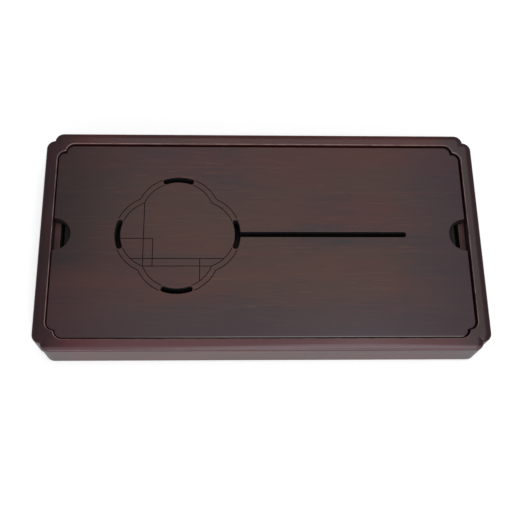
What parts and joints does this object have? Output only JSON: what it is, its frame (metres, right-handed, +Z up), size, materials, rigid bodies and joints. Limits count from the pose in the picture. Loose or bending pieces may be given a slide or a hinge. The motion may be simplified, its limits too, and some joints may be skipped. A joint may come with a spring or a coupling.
{
  "type": "gongfu tea tray",
  "caption": "Rectangular gongfu tea tray of dark red-brown lacquered wood, with a lift-out drain board that has a four-lobed window of curved slots and one straight slot, over a removable plastic basin.",
  "frame": {"origin": "on the table under the middle of the tray", "axes": "+X along the tray's length to the right as seen from the front, +Y from the front to the back, +Z up"},
  "size_m": [0.57, 0.3, 0.053],
  "materials": {
    "lacquered_rail": "gloss lacquer over dark stained wood, fine straight grain",
    "lacquered_board": "satin lacquer over dark stained wood, fine straight grain",
    "plain_wood": "bare beech",
    "stained_panel": "dark stained panel, matte",
    "stained_cleat": "dark stained wood, satin",
    "foot_rubber": "matte rubber",
    "screw_steel": "zinc plated",
    "basin_plastic": "fine moulded texture"
  },
  "bodies": {
    "frame": {"front_rail": "lacquered_rail", "back_rail": "lacquered_rail", "left_rail": "lacquered_rail", "right_rail": "lacquered_rail", "mitre_keys": "plain_wood", "bottom_panel": "stained_panel", "foot_front_left": "foot_rubber", "foot_front_right": "foot_rubber", "foot_back_left": "foot_rubber", "foot_back_right": "foot_rubber", "foot_screws": "screw_steel"},
    "drain_board": {"board_stave_1": "lacquered_board", "board_stave_2": "lacquered_board", "board_stave_3": "lacquered_board", "board_stave_4": "lacquered_board", "board_stave_5": "lacquered_board", "board_stave_6": "lacquered_board", "board_stave_7": "lacquered_board", "cleat_left": "stained_cleat", "cleat_right": "stained_cleat", "cleat_screws": "screw_steel"},
    "water_tray": {"water_tray": "basin_plastic"}
  },
  "joints": [
    {"name": "board_lift", "type": "slide", "parent": "frame", "child": "drain_board", "axis": [0, 0, 1], "range_m": [0, 0.12]},
    {"name": "basin_lift", "type": "slide", "parent": "frame", "child": "water_tray", "axis": [0, 0, 1], "range_m": [0, 0.06]}
  ],
  "couplings": [
    {"joint": "basin_lift", "follows": "board_lift", "ratio": 0.5}
  ]
}
